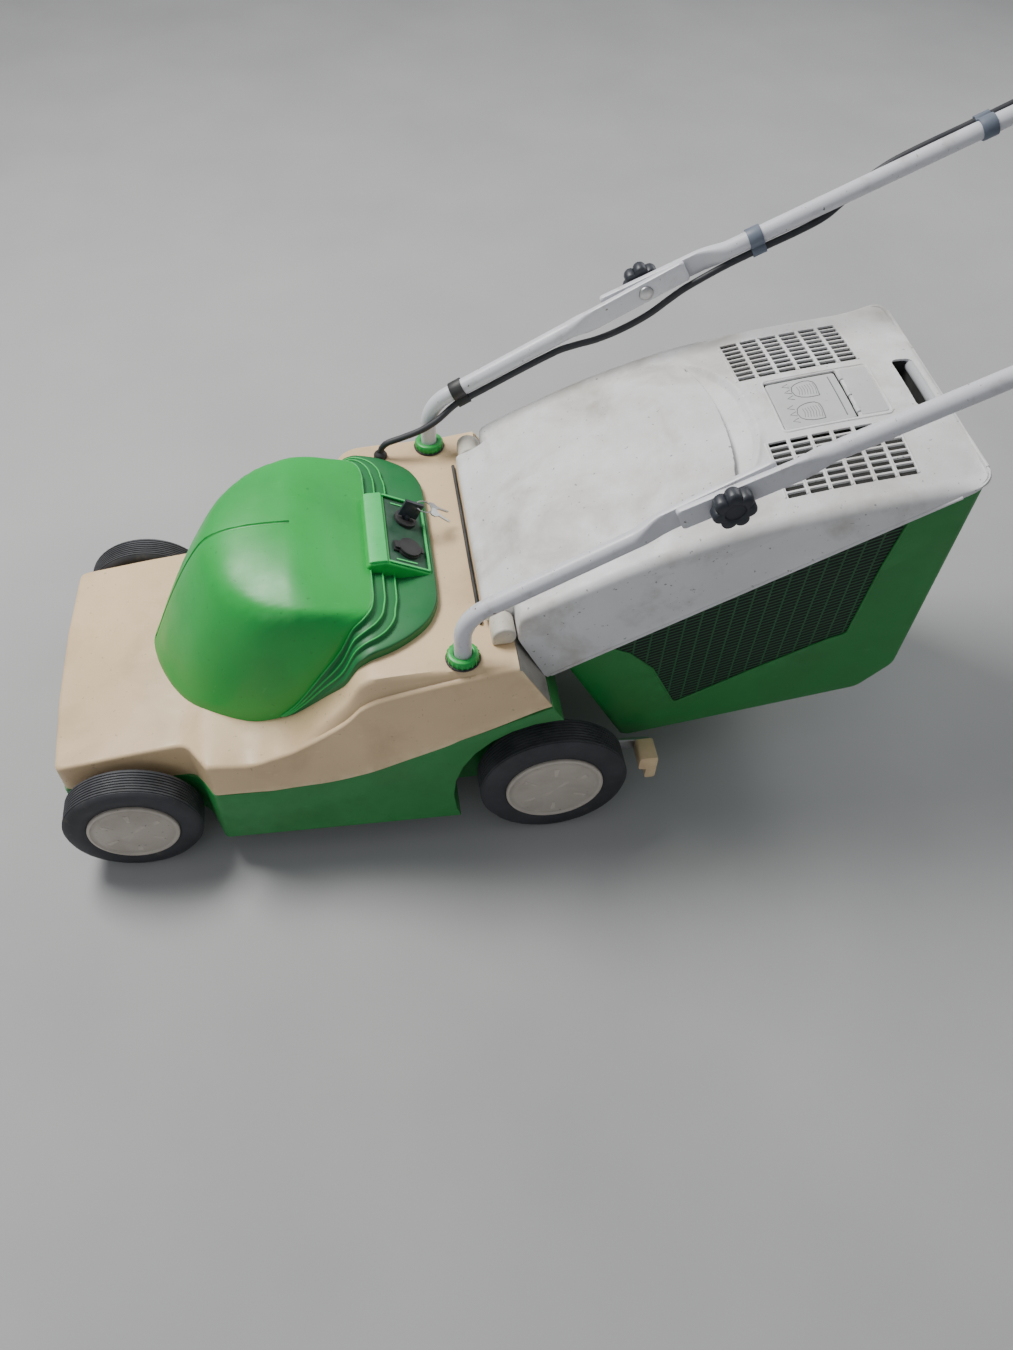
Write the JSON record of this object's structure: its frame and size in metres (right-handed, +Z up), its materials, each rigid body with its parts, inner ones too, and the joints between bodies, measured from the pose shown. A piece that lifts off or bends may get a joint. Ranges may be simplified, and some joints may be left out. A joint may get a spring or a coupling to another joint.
{
  "type": "push lawn mower",
  "caption": "Walk-behind electric lawn mower with a domed motor hood, a folding tube handle, crank height setting and a tilting rear grass catcher.",
  "frame": {"origin": "middle of the footprint, on the ground", "axes": "+X from the front wheels towards the handle's grip, +Y to the right of the person who pushes, +Z up"},
  "size_m": [1.6158, 0.506, 0.992],
  "materials": {
    "cream_plastic": "satin",
    "green_plastic": "satin",
    "bag_green_plastic": "matte, finely slotted",
    "pale_plastic": "matte",
    "black_plastic": "matte",
    "knob_plastic": "matte",
    "clip_plastic": "matte",
    "wheel_plastic": "matte",
    "tyre_rubber": "matte",
    "black_rubber": "matte",
    "grip_foam": "foam",
    "cable_sheath": "matte",
    "tube_paint": "powder coat",
    "bare_steel": "satin",
    "cast_metal": "cast"
  },
  "bodies": {
    "root": {"deck_cover": "cream_plastic", "lower_housing": "green_plastic", "rear_seal": "black_rubber", "motor_hood": "green_plastic", "hood_screw_left": "bare_steel", "hood_screw_right": "bare_steel", "key_switch": "black_plastic", "charge_socket": "black_plastic", "motor_can": "cast_metal", "battery": "black_plastic", "ferrule_left": "green_plastic", "ferrule_right": "green_plastic", "lower_tube_left": "tube_paint", "lower_tube_right": "tube_paint", "clamp_bolt_left": "bare_steel", "clamp_bolt_right": "bare_steel", "hinge_boss_left": "cream_plastic", "hinge_boss_right": "cream_plastic", "cable_lower": "cable_sheath", "cable_clip_lower": "black_plastic"},
    "blade_rotor": {"motor_rotor": "bare_steel", "cooling_fan": "black_plastic", "blade_carrier": "cast_metal", "blade": "bare_steel", "blade_bolt": "bare_steel"},
    "front_crank": {"front_axle": "bare_steel"},
    "rear_crank": {"rear_axle": "bare_steel", "height_lever": "bare_steel", "height_lever_grip": "cream_plastic"},
    "wheel_front_left": {"tyre_front_left": "tyre_rubber", "wheel_body_front_left": "wheel_plastic", "hub_cap_front_left": "cream_plastic"},
    "wheel_front_right": {"tyre_front_right": "tyre_rubber", "wheel_body_front_right": "wheel_plastic", "hub_cap_front_right": "cream_plastic"},
    "wheel_rear_left": {"tyre_rear_left": "tyre_rubber", "wheel_body_rear_left": "wheel_plastic", "hub_cap_rear_left": "cream_plastic"},
    "wheel_rear_right": {"tyre_rear_right": "tyre_rubber", "wheel_body_rear_right": "wheel_plastic", "hub_cap_rear_right": "cream_plastic"},
    "handle": {"upper_handle": "tube_paint", "grip_foam": "grip_foam", "switch_box": "black_plastic", "bail_bracket": "black_plastic", "cable_upper": "cable_sheath", "cable_clip_middle": "clip_plastic", "cable_clip_upper": "clip_plastic"},
    "knob_left": {"star_knob_left": "knob_plastic"},
    "knob_right": {"star_knob_right": "knob_plastic"},
    "bail": {"bail_lever": "bare_steel"},
    "button": {"start_button": "green_plastic"},
    "catcher": {"catcher_lid": "pale_plastic", "catcher_bag": "bag_green_plastic"},
    "flap": {"level_flap": "pale_plastic"},
    "key": {"key": "black_plastic"},
    "socket_cap": {"charge_cap": "black_plastic"}
  },
  "joints": [
    {"name": "front_height", "type": "hinge", "parent": "root", "child": "front_crank", "pos_m": [-0.75693, 0, 0.102], "axis": [0, 1, 0], "range_deg": [-20, 20]},
    {"name": "rear_height", "type": "hinge", "parent": "root", "child": "rear_crank", "pos_m": [-0.19093, 0, 0.114], "axis": [0, 1, 0], "range_deg": [-20, 20]},
    {"name": "roll_front_left", "type": "hinge", "parent": "front_crank", "child": "wheel_front_left", "pos_m": [-0.71493, 0, 0.09], "axis": [0, 1, 0], "continuous": true},
    {"name": "roll_front_right", "type": "hinge", "parent": "front_crank", "child": "wheel_front_right", "pos_m": [-0.71493, 0, 0.09], "axis": [0, 1, 0], "continuous": true},
    {"name": "roll_rear_left", "type": "hinge", "parent": "rear_crank", "child": "wheel_rear_left", "pos_m": [-0.14893, 0, 0.102], "axis": [0, 1, 0], "continuous": true},
    {"name": "roll_rear_right", "type": "hinge", "parent": "rear_crank", "child": "wheel_rear_right", "pos_m": [-0.14893, 0, 0.102], "axis": [0, 1, 0], "continuous": true},
    {"name": "blade_spin", "type": "hinge", "parent": "root", "child": "blade_rotor", "pos_m": [-0.48493, 0, 0.1], "axis": [0, 0, 1], "continuous": true},
    {"name": "handle_fold", "type": "hinge", "parent": "root", "child": "handle", "pos_m": [0.02307, 0, 0.57055], "axis": [0, 1, 0], "range_deg": [-150, 0]},
    {"name": "knob_turn_left", "type": "hinge", "parent": "root", "child": "knob_left", "pos_m": [0.02307, 0, 0.57055], "axis": [0, -1, 0], "range_deg": [0, 720]},
    {"name": "knob_turn_right", "type": "hinge", "parent": "root", "child": "knob_right", "pos_m": [0.02307, 0, 0.57055], "axis": [0, 1, 0], "range_deg": [0, 720]},
    {"name": "bail_squeeze", "type": "hinge", "parent": "handle", "child": "bail", "pos_m": [0.63463, 0, 0.89148], "axis": [0, 1, 0], "range_deg": [0, 28], "stiffness_Nm_per_rad": 1.2, "springref_deg": -22.92},
    {"name": "button_press", "type": "slide", "parent": "handle", "child": "button", "axis": [0.4258, 0, -0.9048], "range_m": [0, 0.006], "stiffness_N_per_m": 300, "springref_m": -0.004},
    {"name": "catcher_lift", "type": "hinge", "parent": "root", "child": "catcher", "pos_m": [-0.21393, 0, 0.353], "axis": [0, 1, 0], "range_deg": [-25, 0]},
    {"name": "level_flap_lift", "type": "hinge", "parent": "catcher", "child": "flap", "pos_m": [0.2316, 0, 0.5349], "axis": [0, 1, 0], "range_deg": [0, 60]},
    {"name": "key_turn", "type": "hinge", "parent": "root", "child": "key", "pos_m": [-0.31743, 0.026, 0.362], "axis": [-0.4671, 0, -0.8842], "range_deg": [0, 90]},
    {"name": "socket_cap_lift", "type": "hinge", "parent": "root", "child": "socket_cap", "pos_m": [-0.33245, -0.03, 0.37638], "axis": [0, 1, 0], "range_deg": [-100, 0]}
  ],
  "couplings": [
    {"joint": "front_height", "follows": "rear_height", "ratio": 1}
  ]
}
